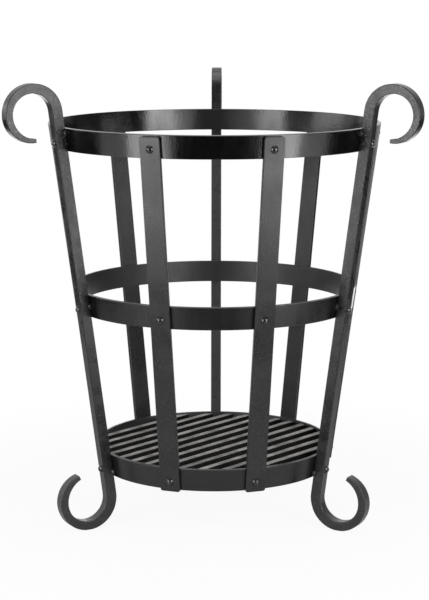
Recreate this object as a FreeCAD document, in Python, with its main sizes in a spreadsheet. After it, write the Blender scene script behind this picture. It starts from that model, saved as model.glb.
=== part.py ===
"""Round fire basket of riveted steel bar.

Three flat hoops lie on one cone. Three square legs and six flat slats stand on the outside of the hoops and
are riveted to them. Each leg ends in a forged scroll at both ends: a scroll head above the top hoop and a
scroll foot below the bottom hoop. A grate of parallel square bars closes the bottom hoop.

The frame has +Z up, with the origin on the basket's axis at floor level. All lengths are in millimetres.
"""

import FreeCAD, Part
import math
import os
import Sketcher

Vector = FreeCAD.Vector

# Driving lengths
LENGTHS = {
    # wall: the cone on which the hoops' outer faces and the uprights' inner faces lie
    "top_hoop_radius": 184.0,
    "bottom_hoop_radius": 133.5,
    "bottom_hoop_height": 70.0,
    # flat bar of the hoops
    "hoop_height": 25.0,
    "hoop_thickness": 4.0,
    # flat bar of the slats
    "slat_width": 22.5,
    "slat_thickness": 4.0,
    "slat_top_drop": 1.7,
    "slat_bottom_reach": 0.8,
    "slat_corner_radius": 2.5,
    # square bar of the legs, up to the top of the scroll heads, and their rise above the top hoop's middle
    "overall_height": 497.0,
    "head_rise": 61.0,
    "leg_bar": 12.0,
    "leg_edge_radius": 0.8,
    # scroll head: loop, bar thickness half a turn on, then a tighter or wider curl to the tip
    "head_loop_radius": 22.6,
    "head_half_turn_thickness": 8.2,
    "head_curl_radius": 25.9,
    "head_tip_thickness": 4.2,
    # scroll foot, with a small flat where it stands
    "foot_loop_radius": 23.5,
    "foot_half_turn_thickness": 9.2,
    "foot_curl_radius": 27.5,
    "foot_tip_thickness": 4.9,
    "sole_depth": 0.4,
    # snap head rivets, closed flush inside the hoops
    "rivet_shank_radius": 2.5,
    "rivet_hole_clearance": 0.1,
    "rivet_head_radius": 4.4,
    "rivet_head_height": 3.2,
    "rivet_end_recess": 0.05,
    "rivet_drop": 2.0,
    # tack welds between the legs and the hoops
    "weld_radius": 3.2,
    # grate of square bars, welded in the bottom hoop, with at least the edge room beside its last bars
    "grate_bar": 8.0,
    "grate_pitch": 20.0,
    "grate_drop": 1.5,
    "grate_edge_room": 14.0,
    "grate_weld_gap": 0.2,
    # how far a cutting shape runs past what it cuts
    "cut_overrun": 5.0,
}

# Driving angles in degrees, in plan from +X, or along a scroll's last curl
ANGLES = {
    "first_leg_angle": -30.0,
    "grate_angle": 50.0,
    "head_curl_angle": 83.0,
    "foot_curl_angle": 72.0,
}

# Uprights in turn round the basket, every 40 degrees from the first leg
UPRIGHTS = [
    "leg_front_right",
    "slat_right",
    "slat_back_right",
    "leg_back",
    "slat_back_left",
    "slat_left",
    "leg_front_left",
    "slat_front_left",
    "slat_front_right",
]
FULL_TURN_ANGLE = 360.0
QUARTER_TURN_ANGLE = FULL_TURN_ANGLE / 4
UPRIGHT_STEP_ANGLE = FULL_TURN_ANGLE / len(UPRIGHTS)
LEG_COUNT = 3
SLAT_COUNT_PER_GAP = 2

# Hoops from the floor up, as shares of the way from the bottom hoop to the top one
BOTTOM_SHARE = 0.0
MIDDLE_SHARE = 0.5
TOP_SHARE = 1.0
HOOP_SHARES = {"bottom": BOTTOM_SHARE, "middle": MIDDLE_SHARE, "top": TOP_SHARE}
# Tack welds sit towards the outer edge of the end hoops, as shares of half a hoop's height
WELD_EDGE_SHARE = 0.6
WELD_RISE_SHARES = {"bottom": -WELD_EDGE_SHARE, "middle": 0.0, "top": WELD_EDGE_SHARE}

# Points of a sketch's element: its start, its end and its centre
START, END, CENTRE = range(1, 4)

doc = FreeCAD.newDocument("fire_basket")
sheet = doc.addObject("Spreadsheet::Sheet", "Sizes")
for row, (alias, value) in enumerate({**LENGTHS, **ANGLES}.items(), start=1):
    sheet.set(f"A{row}", alias.replace("_", " "))
    sheet.set(f"B{row}", str(value))
    sheet.setAlias(f"B{row}", alias)
doc.recompute()


def size(alias):
    """The value of one of the sheet's cells."""
    return float(sheet.get(alias))


# Wall line in the radial plane: x is the radius, y the height
WALL_LOW = Vector(size("bottom_hoop_radius"), size("bottom_hoop_height"))
WALL_HIGH = Vector(size("top_hoop_radius"), size("overall_height") - size("head_rise"))
WALL_LENGTH = (WALL_HIGH - WALL_LOW).Length
ALONG = (WALL_HIGH - WALL_LOW).normalize()
OUTWARD = Vector(ALONG.y, -ALONG.x)

# The same wall as formulas of the sheet's cells
WALL_RUN = "(Sizes.top_hoop_radius - Sizes.bottom_hoop_radius)"
WALL_RISE = "(Sizes.overall_height - Sizes.head_rise - Sizes.bottom_hoop_height)"
WALL_LENGTH_FORMULA = f"sqrt({WALL_RUN}^2 + {WALL_RISE}^2)"
WALL_SECANT = f"({WALL_LENGTH_FORMULA} / {WALL_RISE})"


def wall_point(share, rise=0.0):
    """A point of the wall line, at a share of its length plus a rise along it."""
    return WALL_LOW + ALONG * (share * WALL_LENGTH + rise)


def in_space(vector):
    """A direction of the radial plane as a direction of a body's own space."""
    return Vector(vector.x, 0, vector.y)


def new_body(label, several_solids=False):
    """An empty body under the name of its sub-part, of one solid or of a group."""
    body = doc.addObject("PartDesign::Body", label)
    body.Label = label
    body.AllowCompound = several_solids
    return body


def origin_feature(body, role):
    """One of the planes or axes of a body's own origin."""
    return next(f for f in body.Origin.OriginFeatures if f.Role == role)


def radial_sketch(body, name):
    """A sketch on a body's radial plane, with the wall line as its first construction line."""
    sketch = body.newObject("Sketcher::SketchObject", name)
    sketch.AttachmentSupport = [(origin_feature(body, "XZ_Plane"), "")]
    sketch.MapMode = "FlatFace"
    wall = sketch.addGeometry(Part.LineSegment(WALL_LOW, WALL_HIGH), True)
    bind(sketch, ("DistanceX", wall, START, WALL_LOW.x), "Sizes.bottom_hoop_radius")
    bind(sketch, ("DistanceY", wall, START, WALL_LOW.y), "Sizes.bottom_hoop_height")
    bind(sketch, ("DistanceX", wall, END, WALL_HIGH.x), "Sizes.top_hoop_radius")
    bind(sketch, ("DistanceY", wall, END, WALL_HIGH.y), "Sizes.overall_height - Sizes.head_rise")
    return sketch, wall


def constrain(sketch, *rules):
    """Adds constraints that hold no size."""
    sketch.addConstraint([Sketcher.Constraint(*rule) for rule in rules])


def bind(sketch, rule, formula):
    """Adds a constraint whose size is a formula of the sheet's cells."""
    index = sketch.addConstraint(Sketcher.Constraint(*rule))
    sketch.setExpression(f"Constraints[{index}]", formula)


def add_polygon(sketch, corners):
    """Closed straight outline, one line from each corner to the next."""
    lines = []
    for corner, following in zip(corners, corners[1:] + corners[:1]):
        lines.append(sketch.addGeometry(Part.LineSegment(corner, following)))
    for line, following in zip(lines, lines[1:] + lines[:1]):
        constrain(sketch, ("Coincident", line, END, following, START))
    return lines


def add_rectangle(sketch, low, high, depth, depth_formula):
    """Rectangle on the line from low to high, with its depth square to it. Returns its first line."""
    base, far_end, back, near_end = add_polygon(sketch, [low, high, high + depth, low + depth])
    constrain(
        sketch,
        ("Perpendicular", base, far_end),
        ("Perpendicular", base, near_end),
        ("Parallel", base, back),
    )
    bind(sketch, ("Distance", far_end, depth.Length), depth_formula)
    return base


def add_station(sketch, wall, share):
    """Point of the wall line at a hoop's mid-height."""
    station = sketch.addGeometry(Part.Point(wall_point(share)), True)
    if share == BOTTOM_SHARE:
        constrain(sketch, ("Coincident", station, START, wall, START))
    elif share == TOP_SHARE:
        constrain(sketch, ("Coincident", station, START, wall, END))
    else:
        constrain(sketch, ("Symmetric", wall, START, wall, END, station, START))
    return station


def add_rivet_line(sketch, wall, share, inward, inward_formula, outward, outward_formula):
    """Construction line of a rivet at a hoop, square to the wall. Returns it and its two ends."""
    station = add_station(sketch, wall, share)
    foot = wall_point(share, -size("rivet_drop"))
    ends = [foot - OUTWARD * inward, foot + OUTWARD * outward]
    centre = sketch.addGeometry(Part.Point(foot), True)
    line = sketch.addGeometry(Part.LineSegment(*ends), True)
    constrain(
        sketch,
        ("PointOnObject", centre, START, wall),
        ("PointOnObject", centre, START, line),
        ("Perpendicular", line, wall),
    )
    bind(sketch, ("Distance", centre, START, station, START, size("rivet_drop")), "Sizes.rivet_drop")
    bind(sketch, ("Distance", line, START, centre, START, inward), inward_formula)
    bind(sketch, ("Distance", line, END, centre, START, outward), outward_formula)
    return line, ends


# Construction lines of a sketch in turn: the wall line, then the rivet line where there is one
WALL_AXIS = "Axis0"
RIVET_AXIS = "Axis1"


def drill_rivet_hole(body, share, outward_cell):
    """Cuts one rivet hole through a hoop or an upright."""
    sketch, wall = radial_sketch(body, f"{body.Label}_hole_sketch")
    overrun = size("cut_overrun")
    line, ends = add_rivet_line(
        sketch,
        wall,
        share,
        size("hoop_thickness") + overrun,
        "Sizes.hoop_thickness + Sizes.cut_overrun",
        size(outward_cell) + overrun,
        f"Sizes.{outward_cell} + Sizes.cut_overrun",
    )
    radius = size("rivet_shank_radius") + size("rivet_hole_clearance")
    radius_formula = "Sizes.rivet_shank_radius + Sizes.rivet_hole_clearance"
    base = add_rectangle(sketch, ends[0], ends[1], ALONG * radius, radius_formula)
    constrain(
        sketch,
        ("Coincident", base, START, line, START),
        ("Coincident", base, END, line, END),
    )
    hole = body.newObject("PartDesign::Groove", f"{body.Label}_hole")
    hole.Profile = sketch
    hole.ReferenceAxis = (sketch, [RIVET_AXIS])
    hole.Angle = FULL_TURN_ANGLE
    doc.recompute()
    return hole, sketch


def drill_upright(body, thickness_cell):
    """Drills an upright once at each hoop, evenly along the wall."""
    hole, sketch = drill_rivet_hole(body, BOTTOM_SHARE, thickness_cell)
    holes = body.newObject("PartDesign::LinearPattern", f"{body.Label}_holes")
    holes.Originals = [hole]
    holes.Direction = (sketch, [WALL_AXIS])
    holes.setExpression("Length", WALL_LENGTH_FORMULA)
    holes.Occurrences = len(HOOP_SHARES)
    body.Tip = holes
    doc.recompute()


def turn_to(thing, index):
    """Turns a sub-part modelled on the radial plane to the place of an upright."""
    angle = size("first_leg_angle") + index * UPRIGHT_STEP_ANGLE
    thing.Placement = FreeCAD.Placement(Vector(), FreeCAD.Rotation(Vector(0, 0, 1), angle))


def rounded(body, feature, edges, radius_cell):
    """Rounds some edges of a body's last feature."""
    fillet = body.newObject("PartDesign::Fillet", f"{body.Label}_rounding")
    fillet.Base = (feature, edges)
    fillet.setExpression("Radius", f"Sizes.{radius_cell}")
    body.Tip = fillet
    doc.recompute()
    return fillet


def pad_across(body, sketch, width_cell):
    """Thickens a side view evenly to both sides of the radial plane."""
    pad = body.newObject("PartDesign::Pad", f"{body.Label}_bar")
    pad.Profile = sketch
    pad.SideType = "Symmetric"
    pad.setExpression("Length", f"Sizes.{width_cell}")
    doc.recompute()
    return pad


def edge_names(shape, wanted):
    """Names of a shape's edges that pass a test."""
    return [f"Edge{number}" for number, edge in enumerate(shape.Edges, start=1) if wanted(edge)]


def make_hoop(name, share):
    """Flat bar bent on edge to the cone, drilled once at each upright."""
    body = new_body(f"{name}_hoop")
    sketch, wall = radial_sketch(body, f"{body.Label}_section")
    station = add_station(sketch, wall, share)
    half = size("hoop_height") / 2
    base = add_rectangle(
        sketch,
        wall_point(share, -half),
        wall_point(share, half),
        OUTWARD * -size("hoop_thickness"),
        "Sizes.hoop_thickness",
    )
    constrain(
        sketch,
        ("PointOnObject", base, START, wall),
        ("Symmetric", base, START, base, END, station, START),
    )
    bind(sketch, ("Distance", base, 2 * half), "Sizes.hoop_height")
    ring = body.newObject("PartDesign::Revolution", f"{body.Label}_ring")
    ring.Profile = sketch
    ring.ReferenceAxis = (sketch, ["V_Axis"])
    ring.Angle = FULL_TURN_ANGLE
    doc.recompute()
    hole, _ = drill_rivet_hole(body, share, "leg_bar")
    holes = body.newObject("PartDesign::PolarPattern", f"{body.Label}_holes")
    holes.Originals = [hole]
    holes.Axis = (origin_feature(body, "Z_Axis"), [""])
    holes.Angle = FULL_TURN_ANGLE
    holes.Occurrences = len(UPRIGHTS)
    body.Tip = holes
    turn_to(body, 0)
    return body


def make_slat(label, index):
    """Straight flat bar on the outside of the three hoops, with rounded corners."""
    body = new_body(label)
    sketch, wall = radial_sketch(body, f"{label}_side")
    below = size("hoop_height") / 2 + size("slat_bottom_reach")
    above = size("hoop_height") / 2 - size("slat_top_drop")
    base = add_rectangle(
        sketch,
        wall_point(BOTTOM_SHARE, -below),
        wall_point(TOP_SHARE, above),
        OUTWARD * size("slat_thickness"),
        "Sizes.slat_thickness",
    )
    constrain(
        sketch,
        ("PointOnObject", base, START, wall),
        ("PointOnObject", base, END, wall),
    )
    bind(
        sketch,
        ("Distance", base, START, wall, START, below),
        "Sizes.hoop_height / 2 + Sizes.slat_bottom_reach",
    )
    bind(
        sketch,
        ("Distance", base, END, wall, END, above),
        "Sizes.hoop_height / 2 - Sizes.slat_top_drop",
    )
    pad = pad_across(body, sketch, "slat_width")
    between = (size("slat_thickness") + size("slat_width")) / 2

    def is_corner(edge):
        return edge.Length < between

    rounded(body, pad, edge_names(pad.Shape, is_corner), "slat_corner_radius")
    drill_upright(body, "slat_thickness")
    turn_to(body, index)
    return body


def add_arc(sketch, centre, first, last, turn):
    """Arc about a centre from first to last, turning left (1) or right (-1). Returns it and its two ends."""
    if turn < 0:
        begin, finish = last, first
    else:
        begin, finish = first, last
    begin_angle = math.atan2(begin.y - centre.y, begin.x - centre.x)
    finish_angle = math.atan2(finish.y - centre.y, finish.x - centre.x)
    circle = Part.Circle(centre, Vector(0, 0, 1), (first - centre).Length)
    arc = sketch.addGeometry(Part.ArcOfCircle(circle, begin_angle, finish_angle))
    if turn < 0:
        return (arc, END), (arc, START)
    return (arc, START), (arc, END)


def scroll_reach(end):
    """Radius of a scroll's outer edge over its first half turn."""
    return (size("leg_bar") + size(f"{end}_half_turn_thickness")) / 2 + size(f"{end}_loop_radius")


def scroll_reach_formula(end):
    """The same radius as a formula of the sheet's cells."""
    return f"((Sizes.leg_bar + Sizes.{end}_half_turn_thickness) / 2 + Sizes.{end}_loop_radius)"


def add_scroll(sketch, end, start, forward, turn):
    """Scroll that grows out of the bar's end and thins to its tip.

    The bar leaves start, on the wall line, in the forward direction, and curls outward. Its outer and inner
    edges are each a half circle and then a shorter arc. Returns the ends of both edges at the start.
    """
    bar = size("leg_bar")
    loop = size(f"{end}_loop_radius")
    curl = size(f"{end}_curl_radius")
    tip_thickness = size(f"{end}_tip_thickness")
    half_turn_thickness = size(f"{end}_half_turn_thickness")
    curl_angle = math.radians(size(f"{end}_curl_angle"))
    reach = scroll_reach(end)

    # both edges after half a turn, then at the tip
    outer_half = start + OUTWARD * (2 * reach)
    inner_start = start + OUTWARD * bar
    inner_half = inner_start + OUTWARD * (2 * loop)
    tip_direction = OUTWARD * math.cos(curl_angle) - forward * math.sin(curl_angle)
    curl_centre = inner_half - OUTWARD * curl
    inner_tip = curl_centre + tip_direction * curl
    outer_tip = inner_tip + tip_direction * tip_thickness
    chord = outer_tip - outer_half
    outer_curl = -chord.dot(chord) / (2 * chord.dot(OUTWARD))

    outer_a, outer_b = add_arc(sketch, start + OUTWARD * reach, start, outer_half, turn)
    outer_c, outer_d = add_arc(sketch, outer_half - OUTWARD * outer_curl, outer_half, outer_tip, turn)
    inner_a, inner_b = add_arc(sketch, inner_start + OUTWARD * loop, inner_start, inner_half, turn)
    inner_c, inner_d = add_arc(sketch, curl_centre, inner_half, inner_tip, turn)
    tip = sketch.addGeometry(Part.LineSegment(outer_tip, inner_tip))
    normal = sketch.addGeometry(Part.LineSegment(start, outer_half), True)
    constrain(
        sketch,
        ("Tangent", *outer_b, *outer_c),
        ("Tangent", *inner_b, *inner_c),
        ("Coincident", *outer_d, tip, START),
        ("Coincident", *inner_d, tip, END),
        ("Coincident", normal, START, *outer_a),
        ("Coincident", normal, END, *outer_b),
        ("PointOnObject", outer_a[0], CENTRE, normal),
        ("PointOnObject", *inner_a, normal),
        ("PointOnObject", *inner_b, normal),
        ("PointOnObject", inner_c[0], CENTRE, tip),
    )
    bind(sketch, ("Radius", inner_a[0], loop), f"Sizes.{end}_loop_radius")
    bind(sketch, ("Radius", inner_c[0], curl), f"Sizes.{end}_curl_radius")
    bind(sketch, ("Angle", inner_c[0], curl_angle), f"Sizes.{end}_curl_angle")
    bind(sketch, ("Distance", *outer_b, *inner_b, half_turn_thickness), f"Sizes.{end}_half_turn_thickness")
    bind(sketch, ("Distance", tip, tip_thickness), f"Sizes.{end}_tip_thickness")
    return outer_a, inner_a


def scroll_start(height_of_centre, reach):
    """Point of the wall line where a scroll begins whose outer edge has its centre at a height."""
    height = height_of_centre - OUTWARD.y * reach
    return WALL_LOW + ALONG * ((height - WALL_LOW.y) / ALONG.y)


def make_leg(label, index):
    """Square bar outside the hoops, forged to a scroll at both ends."""
    body = new_body(label)
    sketch, wall = radial_sketch(body, f"{label}_side")
    bar = size("leg_bar")
    head_reach = scroll_reach("head")
    foot_reach = scroll_reach("foot")
    head_centre = size("overall_height") - head_reach
    foot_centre = foot_reach - size("sole_depth")
    head_start = scroll_start(head_centre, head_reach)
    foot_start = scroll_start(foot_centre, foot_reach)

    head_outer, head_inner = add_scroll(sketch, "head", head_start, ALONG, -1)
    foot_outer, foot_inner = add_scroll(sketch, "foot", foot_start, ALONG * -1, 1)
    inner_side = sketch.addGeometry(Part.LineSegment(foot_start, head_start))
    outer_side = sketch.addGeometry(
        Part.LineSegment(foot_start + OUTWARD * bar, head_start + OUTWARD * bar)
    )
    constrain(
        sketch,
        ("Tangent", inner_side, START, *foot_outer),
        ("Tangent", inner_side, END, *head_outer),
        ("Tangent", outer_side, START, *foot_inner),
        ("Tangent", outer_side, END, *head_inner),
        ("PointOnObject", inner_side, START, wall),
        ("PointOnObject", inner_side, END, wall),
        ("Parallel", inner_side, outer_side),
    )
    bind(sketch, ("Distance", outer_side, START, inner_side, bar), "Sizes.leg_bar")
    bind(
        sketch,
        ("DistanceY", head_outer[0], CENTRE, head_centre),
        f"Sizes.overall_height - {scroll_reach_formula('head')}",
    )
    bind(
        sketch,
        ("DistanceY", foot_outer[0], CENTRE, foot_centre),
        f"{scroll_reach_formula('foot')} - Sizes.sole_depth",
    )
    pad = pad_across(body, sketch, "leg_bar")

    def is_long_edge(edge):
        first, last = edge.Vertexes[0], edge.Vertexes[-1]
        is_arc = isinstance(edge.Curve, Part.Circle)
        is_straight_run = not is_arc and edge.Length > 2 * bar
        return first.Y * last.Y > 0 and (is_arc or is_straight_run)

    rounded(body, pad, edge_names(pad.Shape, is_long_edge), "leg_edge_radius")
    cut_sole(body)
    drill_upright(body, "leg_bar")
    turn_to(body, index)
    return body


def cut_sole(body):
    """Flattens the lowest point of a scroll foot to floor level."""
    sketch = body.newObject("Sketcher::SketchObject", f"{body.Label}_sole_sketch")
    sketch.AttachmentSupport = [(origin_feature(body, "XZ_Plane"), "")]
    sketch.MapMode = "FlatFace"
    reach = 2 * size("top_hoop_radius")
    overrun = size("cut_overrun")
    base = add_rectangle(sketch, Vector(), Vector(reach, 0), Vector(0, -overrun), "Sizes.cut_overrun")
    constrain(
        sketch,
        ("Coincident", base, START, -1, START),
        ("Horizontal", base),
    )
    bind(sketch, ("Distance", base, reach), "2 * Sizes.top_hoop_radius")
    sole = body.newObject("PartDesign::Pocket", f"{body.Label}_sole")
    sole.Profile = sketch
    sole.SideType = "Symmetric"
    sole.Type = "ThroughAll"
    body.Tip = sole
    doc.recompute()


def make_rivets(label, share, thickness_cell, first_index, per_gap):
    """Snap head rivets of one hoop: heads on the uprights' outer faces, ends flush inside the hoop."""
    body = new_body(label, several_solids=True)
    sketch, wall = radial_sketch(body, f"{label}_half_view")
    through = size(thickness_cell)
    behind = size("hoop_thickness") - size("rivet_end_recess")
    head_height = size("rivet_head_height")
    head_radius = size("rivet_head_radius")
    line, (end, head_top) = add_rivet_line(
        sketch,
        wall,
        share,
        behind,
        "Sizes.hoop_thickness - Sizes.rivet_end_recess",
        through + head_height,
        f"Sizes.{thickness_cell} + Sizes.rivet_head_height",
    )
    shank = ALONG * size("rivet_shank_radius")
    head_seat = wall_point(share, -size("rivet_drop")) + OUTWARD * through
    head_rim = head_seat + ALONG * head_radius
    dome_radius = (head_radius**2 + head_height**2) / (2 * head_height)
    dome_top, dome_rim = add_arc(sketch, head_top - OUTWARD * dome_radius, head_top, head_rim, 1)
    step = sketch.addGeometry(Part.LineSegment(head_rim, head_seat + shank))
    side = sketch.addGeometry(Part.LineSegment(head_seat + shank, end + shank))
    flush_end = sketch.addGeometry(Part.LineSegment(end + shank, end))
    middle = sketch.addGeometry(Part.LineSegment(end, head_top))
    constrain(
        sketch,
        ("Coincident", *dome_rim, step, START),
        ("Coincident", step, END, side, START),
        ("Coincident", side, END, flush_end, START),
        ("Coincident", flush_end, END, middle, START),
        ("Coincident", middle, END, *dome_top),
        ("Coincident", middle, START, line, START),
        ("Coincident", middle, END, line, END),
        ("PointOnObject", dome_top[0], CENTRE, line),
        ("Parallel", step, wall),
        ("Parallel", flush_end, wall),
        ("Parallel", side, line),
    )
    bind(sketch, ("Distance", side, START, line, shank.Length), "Sizes.rivet_shank_radius")
    bind(sketch, ("Distance", *dome_rim, line, head_radius), "Sizes.rivet_head_radius")
    bind(sketch, ("Distance", *dome_rim, wall, through), f"Sizes.{thickness_cell}")
    rivet = body.newObject("PartDesign::Revolution", f"{label}_rivet")
    rivet.Profile = sketch
    rivet.ReferenceAxis = (sketch, [RIVET_AXIS])
    rivet.Angle = FULL_TURN_ANGLE
    doc.recompute()

    everywhere = body.newObject("PartDesign::MultiTransform", f"{label}_all")
    everywhere.Originals = [rivet]
    axis = origin_feature(body, "Z_Axis")
    neighbours = body.newObject("PartDesign::PolarPattern", f"{label}_neighbours")
    neighbours.Axis = (axis, [""])
    neighbours.Mode = "Spacing"
    neighbours.Offset = UPRIGHT_STEP_ANGLE
    neighbours.Occurrences = per_gap
    gaps = body.newObject("PartDesign::PolarPattern", f"{label}_gaps")
    gaps.Axis = (axis, [""])
    gaps.Angle = FULL_TURN_ANGLE
    gaps.Occurrences = LEG_COUNT
    everywhere.Transformations = [neighbours, gaps]
    body.Tip = everywhere
    turn_to(body, first_index)
    doc.recompute()
    return body


def make_welds(label, index):
    """Tack welds in the corners between a leg's two sides and the hoops, each a quarter of a ball."""
    lean = FreeCAD.Rotation(Vector(0, 0, 1), in_space(ALONG))
    beads = []
    for name, share in HOOP_SHARES.items():
        rise = WELD_RISE_SHARES[name] * size("hoop_height") / 2
        for side, first_angle in ((1, 0.0), (-1, -QUARTER_TURN_ANGLE)):
            bead = doc.addObject("Part::Sphere", f"{label}_{name}_bead")
            bead.setExpression("Radius", "Sizes.weld_radius")
            bead.Angle3 = QUARTER_TURN_ANGLE
            corner = in_space(wall_point(share, rise)) + Vector(0, side * size("leg_bar") / 2, 0)
            quarter = FreeCAD.Rotation(Vector(0, 0, 1), first_angle)
            bead.Placement = FreeCAD.Placement(corner, lean * quarter)
            beads.append(bead)
    welds = doc.addObject("Part::Compound", label)
    welds.Label = label
    welds.Links = beads
    turn_to(welds, index)
    doc.recompute()
    return welds


def make_grate():
    """Parallel square bars across the bottom hoop, their ends cut to its inner face."""
    bar = size("grate_bar")
    slope = ALONG.x / ALONG.y
    hoop_top = wall_point(BOTTOM_SHARE, size("hoop_height") / 2)
    top = hoop_top.y - size("grate_drop")
    inner_radius = hoop_top.x - (size("hoop_thickness") + size("grate_weld_gap")) / ALONG.y
    overrun = size("cut_overrun")

    space = doc.addObject("Part::Cone", "grate_space")
    slope_formula = f"({WALL_RUN} / {WALL_RISE})"
    hoop_top_radius = f"(Sizes.bottom_hoop_radius + Sizes.hoop_height / 2 * {slope_formula} / {WALL_SECANT})"
    wall_depth = f"((Sizes.hoop_thickness + Sizes.grate_weld_gap) * {WALL_SECANT})"
    below_formula = "(Sizes.grate_drop + Sizes.grate_bar + Sizes.cut_overrun)"
    above_formula = "(Sizes.cut_overrun - Sizes.grate_drop)"
    space.setExpression("Height", f"{below_formula} + {above_formula}")
    space.setExpression("Radius1", f"{hoop_top_radius} - {wall_depth} - {below_formula} * {slope_formula}")
    space.setExpression("Radius2", f"{hoop_top_radius} - {wall_depth} + {above_formula} * {slope_formula}")
    space.Placement.Base = Vector(0, 0, top - bar - overrun)

    # as many bars as fit, half of them to each side of a gap in the middle
    pitch = size("grate_pitch")
    last_offset = inner_radius - slope * bar - size("grate_edge_room") - bar / 2
    half_count = math.floor(last_offset / pitch + 1 / 2)
    turn = FreeCAD.Rotation(Vector(0, 0, 1), size("grate_angle"))
    bars = []
    for number, step in enumerate(range(-half_count, half_count), start=1):
        blank = doc.addObject("Part::Box", f"grate_blank_{number:02d}")
        blank.setExpression("Length", "2 * Sizes.bottom_hoop_radius")
        blank.setExpression("Width", "Sizes.grate_bar")
        blank.setExpression("Height", "Sizes.grate_bar")
        offset = step * pitch + pitch / 2
        corner = Vector(-size("bottom_hoop_radius"), offset - bar / 2, top - bar)
        blank.Placement = FreeCAD.Placement(turn.multVec(corner), turn)
        trimmed = doc.addObject("Part::Common", f"grate_bar_{number:02d}")
        trimmed.Base = blank
        trimmed.Tool = space
        trimmed.Label = f"grate_bar_{number:02d}"
        bars.append(trimmed)
    doc.recompute()
    return bars


def build():
    """Makes every sub-part and returns them."""
    hoops = [make_hoop(name, share) for name, share in HOOP_SHARES.items()]
    legs = []
    welds = []
    slats = []
    for index, label in enumerate(UPRIGHTS):
        if label.startswith("leg"):
            legs.append(make_leg(label, index))
            welds.append(make_welds(label.replace("leg", "welds"), index))
        else:
            slats.append(make_slat(label, index))
    rivets = []
    for name, share in HOOP_SHARES.items():
        rivets.append(make_rivets(f"{name}_leg_rivets", share, "leg_bar", 0, 1))
        rivets.append(make_rivets(f"{name}_slat_rivets", share, "slat_thickness", 1, SLAT_COUNT_PER_GAP))
    return hoops + legs + slats + welds + rivets + make_grate()


def check_document():
    """Stops if any object of the document failed."""
    failed = [o.Name for o in doc.Objects if "Invalid" in o.State or "Error" in o.State]
    if failed:
        raise RuntimeError(f"failed objects: {', '.join(failed)}")


def check_sketches():
    """Stops if a sketch is left with a free or a conflicting size."""
    for sketch in doc.findObjects("Sketcher::SketchObject"):
        if sketch.solve() != 0 or not sketch.FullyConstrained:
            raise RuntimeError(f"{sketch.Name} is not fully constrained")


parts = build()
doc.recompute()
check_document()
check_sketches()
for part in parts:
    if part.Shape.isNull() or not part.Shape.isValid():
        raise RuntimeError(f"{part.Label} has no valid shape")

os.makedirs("parts", exist_ok=True)
for part in parts:
    part.Shape.exportStep(f"parts/{part.Label}.step")
    print(f"{part.Label}: {len(part.Shape.Solids)} solids, {part.Shape.Volume:.0f} mm3")
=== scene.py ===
"""Looks of the round fire basket: satin black paint over forged and rolled bar, on a pale floor.

Lengths are in metres and angles in degrees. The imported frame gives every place: +Z is up and -Y
is the front.
"""

import math

import bmesh
import bpy
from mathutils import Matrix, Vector, noise


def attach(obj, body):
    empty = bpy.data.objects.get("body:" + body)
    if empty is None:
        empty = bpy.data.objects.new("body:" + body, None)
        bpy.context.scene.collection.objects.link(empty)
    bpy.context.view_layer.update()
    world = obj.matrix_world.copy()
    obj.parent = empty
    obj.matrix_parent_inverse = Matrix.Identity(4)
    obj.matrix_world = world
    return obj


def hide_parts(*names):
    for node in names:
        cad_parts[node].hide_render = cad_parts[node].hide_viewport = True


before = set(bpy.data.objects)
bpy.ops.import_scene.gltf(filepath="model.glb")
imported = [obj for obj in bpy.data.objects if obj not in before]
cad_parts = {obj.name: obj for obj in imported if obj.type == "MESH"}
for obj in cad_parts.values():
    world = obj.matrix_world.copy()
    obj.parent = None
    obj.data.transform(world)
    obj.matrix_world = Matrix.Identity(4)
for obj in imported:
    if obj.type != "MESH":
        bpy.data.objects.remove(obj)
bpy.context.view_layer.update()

MM = 0.001

# Camera, at the photograph's angle: a long lens from the front, a little above the top hoop
CAMERA_PLACE = (0.0271, -2.0397, 0.6119)
CAMERA_TILT = 10.19
CAMERA_TURN = 0.757
CAMERA_LENS = 109.24
SENSOR_LONG_SIDE = 36.0

# Bars: edges left by the rolls and the saw, rounded by paint
HOOP_EDGE = 0.55 * MM
SLAT_EDGE = 0.6 * MM
GRATE_EDGE = 0.7 * MM
EDGE_STEPS = 3
ROUND_PROFILE = 0.5

# Meshes: what counts as a sharp edge, a rivet hole's rim, a soft edge, a flat face and one point
SHARP_EDGE_ANGLE = 50.0
HOLE_RIM_WIDTH = 7.0 * MM
SMOOTH_SHADE_ANGLE = 40.0
FLAT_ANGLE = 0.3
SAME_POINT = 0.002 * MM

# Welds: how far and how closely their lumps stand, and the share at which they are cut off
WELD_LUMP = 0.55 * MM
WELD_LUMP_SCALE = 420.0
WELD_LUMP_TOP = 0.4

# Noise as detail and roughness, and the stretch that draws streaks out along Z
PEBBLED = (3.0, 0.6)
DENTED = (1.5, 0.4)
CLOUDED = (4.0, 0.6)
SPECKED = (2.0, 0.6)
STREAKED = (3.0, 0.6)
STREAK_STRETCH = (1.0, 1.0, 0.12)

# Noise values at which an effect starts and is full, and how far above its cover a chip is full
CLOUD_RANGE = (0.32, 0.68)
SPECK_RANGE = (0.54, 0.72)
STREAK_RANGE = (0.35, 0.65)
CHIP_SOFTNESS = 0.12

# How a face is turned where an effect starts and is full, as the cosine of an angle
EDGE_TURN = (0.985, 0.80)
EDGE_SAMPLES = 6
UPWARD_TURN = (0.6, 0.95)

# The same, where an effect is full and where it ends
INSIDE_TURN = (-0.9, -0.6)
BESIDE_TURN = (0.4, 0.7)

# Heights on the basket up to which an effect is full and at which it ends
BELOW_HEADS = {"full_height": 0.36, "end_height": 0.44}
BELOW_TOP_HOOP = {"full_height": 0.39, "end_height": 0.43}
LOWER_HOOPS = {"full_height": 0.28, "end_height": 0.40}
SCROLL_FEET = {"full_height": 0.05, "end_height": 0.09}

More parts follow.
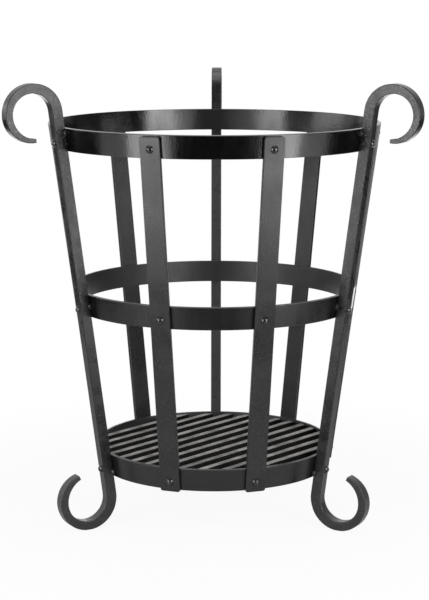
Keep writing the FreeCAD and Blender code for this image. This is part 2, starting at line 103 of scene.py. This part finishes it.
# Shares of wear, streaks and paler feet, and the roughness that fire adds
RUBBED_SHARE = 0.35
STREAK_SHARE = 0.35
PALE_FEET_SHARE = 0.6
FIRE_DULLING = 0.15

# Dust and painted sheen on the grate's upward faces: its noise, and the range of that noise with
# the shares at its ends
GRATE_DUST_AND_SHEEN_SCALE = 55.0
GRATE_DUST_AND_SHEEN_RANGE = (0.30, 0.70, 0.35, 1.0)

# Floor: how white the camera sees it by distance from the axis, and the share of that off gloss
FLOOR_RADIUS = 0.78
FLOOR_CENTRE = (0.0, 0.22, 0.0)
FLOOR_SIDES = 96
FLOOR_GREY = 0.62
FLOOR_ROUGHNESS = 0.9
FLOOR_WHITE = (0.25, 0.65, 0.92, 1.0)
FLOOR_GLOSS = 0.1

# Surround off gloss: a range along one axis of a ray's direction, with the shares at its ends
GLOSS_BEHIND = (-0.2, 0.4, 0.36, 1.0)
GLOSS_ABOVE = (-0.25, 0.05, 0.03, 1.0)
GLOSS_LEFT = (-0.9, -0.4, 1.4, 1.0)
GLOSS_RIGHT = (0.4, 0.9, 1.0, 0.15)

# Share of the surround that lights matt surfaces
SOFT_FILL = 0.25

# Soft lights: place, point that they face, width, height and power
SOFTBOXES = {
    # In front, at half the basket's height
    "left_softbox": ((-0.67, -0.745, 0.25), (0, 0, 0.25), 0.48, 0.50, 4.5),
    "right_softbox": ((0.70, -0.71, 0.25), (0, 0, 0.25), 0.42, 0.50, 4.38),
    # In front, higher than the basket
    "left_high_softbox": ((-0.718, -0.696, 0.65), (0, 0, 0.65), 0.39, 0.30, 2.4),
    "right_high_softbox": ((0.70, -0.71, 0.65), (0, 0, 0.65), 0.42, 0.30, 3.7),
    "left_inner_softbox": ((-0.405, -0.914, 0.65), (0, 0, 0.65), 0.38, 0.30, 0.32),
    "right_inner_softbox": ((0.432, -0.902, 0.65), (0, 0, 0.65), 0.25, 0.30, 0.54),
    # Towards the sides, low
    "left_low_softbox": ((-0.80, -0.42, 0.13), (0, 0, 0.13), 0.50, 0.26, 0.5),
    "right_low_softbox": ((0.80, -0.42, 0.13), (0, 0, 0.13), 0.50, 0.26, 0.7),
    # At the sides, high
    "left_side_softbox": ((-0.88, -0.06, 0.44), (0, -0.06, 0.44), 0.44, 0.20, 0.78),
    "right_side_softbox": ((0.88, -0.06, 0.44), (0, -0.06, 0.44), 0.44, 0.20, 0.98),
    "left_side_high_softbox": ((-0.88, 0.18, 0.60), (0, 0.18, 0.60), 0.50, 0.12, 0.42),
    # Behind, low, and overhead
    "back_left_low_softbox": ((-0.45, 0.80, 0.11), (0, 0, 0.11), 0.60, 0.22, 1.0),
    "back_right_low_softbox": ((0.45, 0.80, 0.11), (0, 0, 0.11), 0.60, 0.22, 1.0),
    "top_softbox": ((0.0, 0.10, 1.60), (0, 0, 0.3), 1.0, 1.0, 10.0),
}

HOOPS = ["bottom_hoop", "middle_hoop", "top_hoop"]
LEGS = ["leg_front_right", "leg_back", "leg_front_left"]
SLATS = [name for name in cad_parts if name.startswith("slat_")]
RIVETS = [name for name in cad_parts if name.endswith("_rivets")]
WELDS = [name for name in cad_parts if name.startswith("welds_")]
GRATE_BARS = [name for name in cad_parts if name.startswith("grate_bar_")]


def grey(value, warmth=0.0):
    """Near neutral colour, a little warmer or cooler."""
    return (value * (1 + warmth), value, value * (1 - warmth), 1.0)


WHITE = grey(1.0)
# Pale specks on the scroll heads: painted highlight glints, and wear where the basket is lifted
WORN_AND_GLINT_GREY = grey(0.15)
# Paler grey on the legs' inward faces below the top hoop
INWARD_PALE_GREY = grey(0.034)
# Paler grey towards the foot ends
PALE_FOOT_GREY = grey(0.03, 0.02)
# Pale dust with a painted sheen on the grate's upward faces
GRATE_DUST_AND_SHEEN = grey(0.27, 0.04)


# Shader node helpers

class Tree:
    """Short calls for the nodes of one shader tree."""

    def __init__(self, tree):
        self.tree = tree

    def add(self, kind, **settings):
        node = self.tree.nodes.new(kind)
        for key, value in settings.items():
            setattr(node, key, value)
        return node

    def feed(self, socket, value):
        """Links a socket into an input, or sets the input's own value."""
        if isinstance(value, bpy.types.NodeSocket):
            self.tree.links.new(value, socket)
        else:
            socket.default_value = value

    def math(self, operation, first, second=0.0, clamp=False):
        node = self.add("ShaderNodeMath", operation=operation, use_clamp=clamp)
        self.feed(node.inputs[0], first)
        self.feed(node.inputs[1], second)
        return node.outputs[0]

    def product(self, first, *others):
        for other in others:
            first = self.math("MULTIPLY", first, other)
        return first

    def noise(self, place, scale, detail, roughness):
        node = self.add("ShaderNodeTexNoise")
        self.feed(node.inputs["Vector"], place)
        self.feed(node.inputs["Scale"], scale)
        self.feed(node.inputs["Detail"], detail)
        self.feed(node.inputs["Roughness"], roughness)
        return node.outputs["Fac"]

    def ramp(self, value, low, high, out_low=0.0, out_high=1.0):
        """Smooth step from one number to another while a value goes from low to high."""
        node = self.add("ShaderNodeMapRange", interpolation_type="SMOOTHSTEP")
        for socket, number in zip(node.inputs[:5], (value, low, high, out_low, out_high)):
            self.feed(socket, number)
        return node.outputs[0]

    def fade(self, value, full, end):
        """1 where a value is below full, smoothly down to 0 where it is above end."""
        return self.ramp(value, full, end, 1.0, 0.0)

    def mix(self, share, first, second):
        node = self.add("ShaderNodeMix", data_type="RGBA")
        self.feed(node.inputs["Factor"], share)
        self.feed(node.inputs["A"], first)
        self.feed(node.inputs["B"], second)
        return node.outputs["Result"]

    def place(self, stretch=(1.0, 1.0, 1.0)):
        """Place on the object in metres, stretched along the axes."""
        mapping = self.add("ShaderNodeMapping")
        self.feed(mapping.inputs["Vector"], self.add("ShaderNodeTexCoord").outputs["Object"])
        self.feed(mapping.inputs["Scale"], stretch)
        return mapping.outputs[0]

    def normal(self):
        return self.add("ShaderNodeNewGeometry").outputs["Normal"]

    def axes(self, vector):
        """A vector's X, Y and Z."""
        node = self.add("ShaderNodeSeparateXYZ")
        self.feed(node.inputs[0], vector)
        return node.outputs

    def turned(self, first, second):
        """How far two directions agree: 1 alike, 0 square to each other, -1 opposite."""
        node = self.add("ShaderNodeVectorMath", operation="DOT_PRODUCT")
        self.feed(node.inputs[0], first)
        self.feed(node.inputs[1], second)
        return node.outputs["Value"]


def new_group(name, inputs, outputs):
    """Empty shader group with number inputs (name: default) and named number outputs."""
    group = bpy.data.node_groups.new(name, "ShaderNodeTree")
    for label, default in inputs.items():
        socket = group.interface.new_socket(
            label, in_out="INPUT", socket_type="NodeSocketFloat"
        )
        socket.default_value = default
    for label in outputs:
        group.interface.new_socket(label, in_out="OUTPUT", socket_type="NodeSocketFloat")
    given = group.nodes.new("NodeGroupInput").outputs
    result = group.nodes.new("NodeGroupOutput").inputs
    return group, Tree(group), given, result


def place_group(tree, group, **values):
    """A group in a material, with its own values."""
    node = tree.add("ShaderNodeGroup", node_tree=group)
    for label, value in values.items():
        tree.feed(node.inputs[label.replace("_", " ").title()], value)
    return node.outputs


# Effects on the paint, as shader groups

def make_forged_surface():
    """Uneven paint on bar: a pebbled skin, shallow hammer dents, cloudy patches and specks."""
    group, tree, given, result = new_group(
        "forged_surface",
        {
            "Pebble Scale": 420.0,
            "Dent Scale": 70.0,
            "Dent Share": 0.4,
            "Cloud Scale": 22.0,
            "Speck Scale": 900.0,
        },
        ["Height", "Clouds", "Specks"],
    )
    place = tree.place()
    pebbles = tree.noise(place, given["Pebble Scale"], *PEBBLED)
    dents = tree.noise(place, given["Dent Scale"], *DENTED)
    clouds = tree.noise(place, given["Cloud Scale"], *CLOUDED)
    specks = tree.noise(place, given["Speck Scale"], *SPECKED)
    dent_height = tree.product(dents, given["Dent Share"])
    tree.feed(result["Height"], tree.math("ADD", pebbles, dent_height))
    tree.feed(result["Clouds"], tree.ramp(clouds, *CLOUD_RANGE))
    tree.feed(result["Specks"], tree.ramp(specks, *SPECK_RANGE))
    return group


def make_worn_edges():
    """Paint rubbed thin along the edges, with chips where it has gone."""
    group, tree, given, result = new_group(
        "worn_edges",
        {"Edge Width": 1.2 * MM, "Chip Scale": 130.0, "Chip Cover": 0.5},
        ["Rubbed", "Chipped"],
    )
    rounded = tree.add("ShaderNodeBevel", samples=EDGE_SAMPLES)
    tree.feed(rounded.inputs["Radius"], given["Edge Width"])
    edge = tree.ramp(tree.turned(rounded.outputs["Normal"], tree.normal()), *EDGE_TURN)
    patches = tree.noise(tree.place(), given["Chip Scale"], *CLOUDED)
    cover = given["Chip Cover"]
    gone = tree.ramp(patches, cover, tree.math("ADD", cover, CHIP_SOFTNESS))
    tree.feed(result["Rubbed"], edge)
    tree.feed(result["Chipped"], tree.product(edge, gone))
    return group


def make_rolled_streaks():
    """Soft streaks that rolling and brushing leave across a bar."""
    group, tree, given, result = new_group(
        "rolled_streaks", {"Streak Scale": 60.0}, ["Streaks"]
    )
    across = tree.noise(tree.place(STREAK_STRETCH), given["Streak Scale"], *STREAKED)
    tree.feed(result["Streaks"], tree.ramp(across, *STREAK_RANGE))
    return group


def make_fire_side():
    """Faces that look into the fire, faces beside those, and places below a height."""
    group, tree, given, result = new_group(
        "fire_side",
        {"Full Height": 0.28, "End Height": 0.40},
        ["Inside", "Beside", "Below"],
    )
    from_axis = tree.add("ShaderNodeVectorMath", operation="NORMALIZE")
    tree.feed(from_axis.inputs[0], tree.place((1.0, 1.0, 0.0)))
    outward = tree.turned(from_axis.outputs["Vector"], tree.normal())
    height = tree.axes(tree.place())["Z"]
    tree.feed(result["Inside"], tree.fade(outward, *INSIDE_TURN))
    tree.feed(result["Beside"], tree.fade(tree.math("ABSOLUTE", outward), *BESIDE_TURN))
    tree.feed(result["Below"], tree.fade(height, given["Full Height"], given["End Height"]))
    return group


FORGED_SURFACE = make_forged_surface()
WORN_EDGES = make_worn_edges()
ROLLED_STREAKS = make_rolled_streaks()
FIRE_SIDE = make_fire_side()


# Paints

def open_material(material):
    """A material's tree and its Principled shader."""
    return Tree(material.node_tree), material.node_tree.nodes["Principled BSDF"]


def new_material(name):
    """Material with one Principled shader. Returns it, its tree and the shader."""
    material = bpy.data.materials.new(name)
    material.use_nodes = True
    return (material, *open_material(material))


def laid(socket):
    """What already feeds an input."""
    return socket.links[0].from_socket


def satin_paint(
    name, deep, faded, specks, rubbed, shine, surface, edges, bump, gloss=0.5, streaks=None
):
    """Black paint on bar: deep to faded in clouds, specked, rubbed at the edges, dull in patches.

    shine is the lowest and highest roughness, bump the height of the surface's relief, and gloss
    how strongly the paint reflects. surface, edges and streaks are the values of their groups.
    """
    material, tree, shader = new_material(name)
    shader.inputs["Specular IOR Level"].default_value = gloss
    forged = place_group(tree, FORGED_SURFACE, **surface)
    worn = place_group(tree, WORN_EDGES, **edges)
    colour = tree.mix(forged["Clouds"], deep, faded)
    colour = tree.mix(forged["Specks"], colour, specks)
    colour = tree.mix(tree.product(worn["Rubbed"], RUBBED_SHARE), colour, rubbed)
    colour = tree.mix(worn["Chipped"], colour, rubbed)
    tree.feed(shader.inputs["Base Color"], colour)
    patches = forged["Clouds"]
    if streaks:
        lines = place_group(tree, ROLLED_STREAKS, **streaks)["Streaks"]
        patches = tree.math(
            "ADD",
            tree.product(lines, STREAK_SHARE),
            tree.product(forged["Clouds"], 1 - STREAK_SHARE),
        )
    tree.feed(shader.inputs["Roughness"], tree.ramp(patches, 0.0, 1.0, *shine))
    relief = tree.add("ShaderNodeBump")
    relief.inputs["Strength"].default_value = 1.0
    relief.inputs["Distance"].default_value = bump
    tree.feed(relief.inputs["Height"], forged["Height"])
    tree.feed(shader.inputs["Normal"], relief.outputs["Normal"])
    return material


def handled_leg_paint():
    """Satin paint over forged bar: heads specked with painted glints and wear, paler inside and at
    the feet.
    """
    material = satin_paint(
        "leg_paint",
        deep=grey(0.002, -0.02),
        faded=grey(0.010, -0.01),
        specks=grey(0.028),
        rubbed=grey(0.30),
        shine=(0.23, 0.35),
        surface={
            "pebble_scale": 440.0,
            "dent_scale": 40.0,
            "dent_share": 5.0,
            "cloud_scale": 45.0,
            "speck_scale": 700.0,
        },
        edges={"edge_width": 1.4 * MM, "chip_scale": 160.0, "chip_cover": 0.57},
        bump=0.10 * MM,
        gloss=0.36,
    )
    tree, shader = open_material(material)
    colour = laid(shader.inputs["Base Color"])
    # Pale specks on the scroll heads' sideways faces: painted highlight glints, and wear where the
    # basket is lifted.
    heads = place_group(tree, FIRE_SIDE, **BELOW_HEADS)
    on_heads = tree.math("SUBTRACT", 1.0, heads["Below"])
    head_speck_noise = place_group(tree, FORGED_SURFACE, speck_scale=430.0, cloud_scale=24.0)
    glint_and_wear = tree.product(head_speck_noise["Specks"], head_speck_noise["Clouds"], on_heads, heads["Beside"])
    colour = tree.mix(glint_and_wear, colour, WORN_AND_GLINT_GREY)
    # Paler grey on the legs' inward faces below the top hoop.
    fire = place_group(tree, FIRE_SIDE, **BELOW_TOP_HOOP)
    colour = tree.mix(tree.product(fire["Inside"], fire["Below"]), colour, INWARD_PALE_GREY)
    # Paler grey towards the foot ends.
    feet = place_group(tree, FIRE_SIDE, **SCROLL_FEET)
    colour = tree.mix(tree.product(feet["Below"], PALE_FEET_SHARE), colour, PALE_FOOT_GREY)
    tree.feed(shader.inputs["Base Color"], colour)
    return material


def fire_dulled_hoop_paint():
    """Satin paint, duller on the two lower hoops, and twice as much on their inner faces."""
    material = satin_paint(
        "hoop_paint",
        deep=grey(0.001, -0.03),
        faded=grey(0.0025, -0.03),
        specks=grey(0.008),
        rubbed=grey(0.34),
        shine=(0.10, 0.21),
        surface={
            "pebble_scale": 430.0,
            "dent_scale": 40.0,
            "dent_share": 0.6,
            "cloud_scale": 16.0,
        },
        edges={"edge_width": 1.1 * MM, "chip_scale": 110.0, "chip_cover": 0.56},
        bump=0.11 * MM,
        streaks={"streak_scale": 190.0},
    )
    tree, shader = open_material(material)
    brushed = laid(shader.inputs["Roughness"])
    fire = place_group(tree, FIRE_SIDE, **LOWER_HOOPS)
    twice_inside = tree.math("ADD", fire["Inside"], 1.0)
    dulled = tree.product(fire["Below"], FIRE_DULLING, twice_inside)
    tree.feed(shader.inputs["Roughness"], tree.math("ADD", brushed, dulled))
    return material


def dusty_grate_paint():
    """Matt black paint, with wear, and pale dust with a painted sheen on the faces that look up.
    """
    material = satin_paint(
        "grate_paint",
        deep=grey(0.003, 0.02),
        faded=grey(0.006, 0.03),
        specks=grey(0.02, 0.03),
        rubbed=grey(0.16, 0.03),
        shine=(0.48, 0.62),
        surface={
            "pebble_scale": 480.0,
            "dent_scale": 80.0,
            "dent_share": 0.5,
            "cloud_scale": 40.0,
        },
        edges={"edge_width": 1.2 * MM, "chip_scale": 150.0, "chip_cover": 0.58},
        bump=0.14 * MM,
        gloss=0.10,
    )
    tree, shader = open_material(material)
    # Upward faces paler: dust, and a painted sheen where the top light falls.
    upward = tree.ramp(tree.axes(tree.normal())["Z"], *UPWARD_TURN)
    dust_and_sheen_patches = tree.noise(tree.place(), GRATE_DUST_AND_SHEEN_SCALE, *CLOUDED)
    dust_and_sheen = tree.product(upward, tree.ramp(dust_and_sheen_patches, *GRATE_DUST_AND_SHEEN_RANGE))
    colour = tree.mix(dust_and_sheen, laid(shader.inputs["Base Color"]), GRATE_DUST_AND_SHEEN)
    tree.feed(shader.inputs["Base Color"], colour)
    return material


SLAT_PAINT = satin_paint(
    "slat_paint",
    deep=grey(0.003, -0.04),
    faded=grey(0.006, -0.04),
    specks=grey(0.028, -0.03),
    rubbed=grey(0.12),
    shine=(0.27, 0.36),
    surface={
        "pebble_scale": 700.0,
        "dent_scale": 22.0,
        "dent_share": 1.2,
        "cloud_scale": 20.0,
        "speck_scale": 650.0,
    },
    edges={"edge_width": 1.2 * MM, "chip_scale": 140.0, "chip_cover": 0.60},
    bump=0.07 * MM,
    gloss=0.45,
)
RIVET_PAINT = satin_paint(
    "rivet_paint",
    deep=grey(0.002),
    faded=grey(0.004),
    specks=grey(0.006),
    rubbed=grey(0.10),
    shine=(0.08, 0.14),
    surface={
        "pebble_scale": 500.0,
        "dent_scale": 260.0,
        "dent_share": 0.8,
        "cloud_scale": 120.0,
    },
    edges={"edge_width": 0.4 * MM, "chip_scale": 300.0, "chip_cover": 0.70},
    bump=0.06 * MM,
    gloss=0.65,
)
WELD_PAINT = satin_paint(
    "weld_paint",
    deep=grey(0.003, 0.10),
    faded=grey(0.012, 0.25),
    specks=grey(0.024, 0.15),
    rubbed=grey(0.12, 0.15),
    shine=(0.25, 0.50),
    surface={
        "pebble_scale": 420.0,
        "dent_scale": 240.0,
        "dent_share": 1.0,
        "cloud_scale": 160.0,
    },
    edges={"edge_width": 0.4 * MM, "chip_scale": 300.0, "chip_cover": 0.70},
    bump=0.40 * MM,
)
LEG_PAINT = handled_leg_paint()
HOOP_PAINT = fire_dulled_hoop_paint()
GRATE_PAINT = dusty_grate_paint()


# Pieces

def frame_shape(node):
    """A copy of a frame node's shape, with points that fall together joined."""
    shape = bmesh.new()
    shape.from_mesh(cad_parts[node].data)
    bmesh.ops.remove_doubles(shape, verts=shape.verts, dist=SAME_POINT)
    return shape


def new_object(name, shape, paint):
    """Painted object in the scene, made from a finished shape."""
    mesh = bpy.data.meshes.new(name)
    shape.to_mesh(mesh)
    shape.free()
    mesh.materials.append(paint)
    made = bpy.data.objects.new(name, mesh)
    bpy.context.scene.collection.objects.link(made)
    return made


def smooth_faces(piece):
    """Shades a piece smooth, apart from its sharp edges."""
    piece.data.shade_smooth()
    piece.data.set_sharp_from_angle(angle=math.radians(SMOOTH_SHADE_ANGLE))


def stand_for(piece, node):
    """Puts a piece in the place of a frame node."""
    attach(piece, "root")
    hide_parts(node)


def sharp_loops(shape):
    """Sharp edges of a bar in joined runs, each with its reach: small round a rivet hole."""
    sharp = dict.fromkeys(
        line
        for line in shape.edges
        if line.is_manifold and line.calc_face_angle() > math.radians(SHARP_EDGE_ANGLE)
    )
    loops = []
    while sharp:
        joined = [sharp.popitem()[0]]
        for line in joined:
            for neighbour in (edge for point in line.verts for edge in point.link_edges):
                if neighbour in sharp:
                    del sharp[neighbour]
                    joined.append(neighbour)
        places = [point.co for line in joined for point in line.verts]
        loops.append((joined, max((place - places[0]).length for place in places)))
    return loops


def paint_over_rivet_holes(shape):
    """Closes a bar's rivet holes flush, as paint does over rivets that end level with the face."""
    rims = set()
    for lines, reach in sharp_loops(shape):
        if reach < HOLE_RIM_WIDTH:
            rims.update(point for line in lines for point in line.verts)
    walls = [face for face in shape.faces if rims.issuperset(face.verts)]
    bmesh.ops.delete(shape, geom=walls, context="FACES")
    bmesh.ops.holes_fill(shape, edges=[line for line in shape.edges if line.is_boundary])


def softened_bar(node, edge, paint, holes_closed=False):
    """The frame's bar with its sharp edges rounded by a named width."""
    shape = frame_shape(node)
    bmesh.ops.dissolve_limit(
        shape,
        angle_limit=math.radians(FLAT_ANGLE),
        verts=shape.verts,
        edges=shape.edges,
        use_dissolve_boundaries=False,
    )
    if holes_closed:
        paint_over_rivet_holes(shape)
    outline = []
    for lines, reach in sharp_loops(shape):
        if reach > HOLE_RIM_WIDTH:
            outline.extend(lines)
    bmesh.ops.bevel(
        shape,
        geom=outline,
        offset=edge,
        segments=EDGE_STEPS,
        profile=ROUND_PROFILE,
        affect="EDGES",
        clamp_overlap=True,
    )
    bar = new_object(f"{node}_bar", shape, paint)
    smooth_faces(bar)
    even = bar.modifiers.new("even_faces", "WEIGHTED_NORMAL")
    even.keep_sharp = True
    stand_for(bar, node)


def lumpy_welds(node, paint):
    """The frame's weld beads as uneven lumps."""
    shape = frame_shape(node)
    shape.normal_update()
    for point in shape.verts:
        lump = noise.noise(point.co * WELD_LUMP_SCALE)
        point.co += point.normal * (min(lump, WELD_LUMP_TOP) * WELD_LUMP)
    lumps = new_object(f"{node}_lumps", shape, paint)
    smooth_faces(lumps)
    stand_for(lumps, node)


def paint_node(node, paint):
    """Paints a piece of the frame that keeps its shape."""
    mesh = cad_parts[node].data
    mesh.materials.clear()
    mesh.materials.append(paint)


for name in HOOPS:
    softened_bar(name, HOOP_EDGE, HOOP_PAINT, holes_closed=True)
for name in SLATS:
    softened_bar(name, SLAT_EDGE, SLAT_PAINT)
for name in GRATE_BARS:
    softened_bar(name, GRATE_EDGE, GRATE_PAINT)
for name in WELDS:
    lumpy_welds(name, WELD_PAINT)
for name in LEGS:
    paint_node(name, LEG_PAINT)
for name in RIVETS:
    paint_node(name, RIVET_PAINT)


# Studio

def seen_white(tree, off_gloss):
    """Share of plain white for rays that show the background.

    It is full for rays from the camera and through glass, and off_gloss for rays off gloss.
    """
    path = tree.add("ShaderNodeLightPath").outputs
    direct = tree.math("ADD", path["Is Camera Ray"], path["Is Transmission Ray"])
    reflected = tree.product(path["Is Glossy Ray"], off_gloss)
    return tree.math("ADD", direct, reflected, clamp=True)


def pale_floor_paint():
    """Matt pale floor that the camera sees almost white near the basket and white further off."""
    material, tree, shader = new_material("pale_floor")
    shader.inputs["Base Color"].default_value = grey(FLOOR_GREY)
    shader.inputs["Roughness"].default_value = FLOOR_ROUGHNESS
    distance = tree.add("ShaderNodeVectorMath", operation="LENGTH")
    tree.feed(distance.inputs[0], tree.place())
    away = tree.ramp(distance.outputs["Value"], *FLOOR_WHITE)
    glow = tree.add("ShaderNodeEmission")
    glow.inputs["Strength"].default_value = 1.0
    blend = tree.add("ShaderNodeMixShader")
    tree.feed(blend.inputs["Fac"], tree.product(seen_white(tree, FLOOR_GLOSS), away))
    tree.feed(blend.inputs[1], shader.outputs[0])
    tree.feed(blend.inputs[2], glow.outputs[0])
    output = material.node_tree.nodes["Material Output"]
    tree.feed(output.inputs["Surface"], blend.outputs[0])
    return material


def pale_floor():
    """Round floor that keeps a faint shadow and ends in front of the basket."""
    shape = bmesh.new()
    bmesh.ops.create_circle(shape, cap_ends=True, radius=FLOOR_RADIUS, segments=FLOOR_SIDES)
    bmesh.ops.translate(shape, verts=shape.verts, vec=FLOOR_CENTRE)
    floor = new_object("floor", shape, pale_floor_paint())


def studio_world():
    """White surround for the camera, with soft fill light.

    Gloss shows it white behind, dimmer in front, lighter at the left than at the right, and dark
    below the floor.
    """
    world = bpy.data.worlds.new("studio")
    world.use_nodes = True
    bpy.context.scene.world = world
    tree = Tree(world.node_tree)
    direction = tree.axes(tree.add("ShaderNodeTexCoord").outputs["Generated"])
    behind = tree.ramp(direction["Y"], *GLOSS_BEHIND)
    above = tree.ramp(direction["Z"], *GLOSS_ABOVE)
    left = tree.ramp(direction["X"], *GLOSS_LEFT)
    right = tree.ramp(direction["X"], *GLOSS_RIGHT)
    sides = tree.product(left, right)
    path = tree.add("ShaderNodeLightPath").outputs
    soft = tree.product(path["Is Diffuse Ray"], SOFT_FILL)
    seen = seen_white(tree, tree.product(behind, above, sides))
    background = world.node_tree.nodes["Background"]
    tree.feed(background.inputs["Color"], WHITE)
    tree.feed(background.inputs["Strength"], tree.math("ADD", seen, soft, clamp=True))


def softbox(name, place, target, width, height, power):
    """Rectangular soft light that faces a point."""
    light = bpy.data.lights.new(name, "AREA")
    light.shape = "RECTANGLE"
    light.size = width
    light.size_y = height
    light.energy = power
    lamp = bpy.data.objects.new(name, light)
    lamp.location = place
    lamp.rotation_euler = (Vector(target) - Vector(place)).to_track_quat("-Z", "Y").to_euler()
    bpy.context.scene.collection.objects.link(lamp)


def add_camera():
    """Camera at the photograph's place."""
    data = bpy.data.cameras.new("photo_camera")
    data.lens = CAMERA_LENS
    data.sensor_width = SENSOR_LONG_SIDE
    camera = bpy.data.objects.new("photo_camera", data)
    camera.location = CAMERA_PLACE
    camera.rotation_euler = (math.radians(90 - CAMERA_TILT), 0.0, math.radians(CAMERA_TURN))
    bpy.context.scene.collection.objects.link(camera)
    bpy.context.scene.camera = camera


pale_floor()
studio_world()
for name, settings in SOFTBOXES.items():
    softbox(name, *settings)
add_camera()
bpy.context.scene.view_settings.view_transform = "Standard"
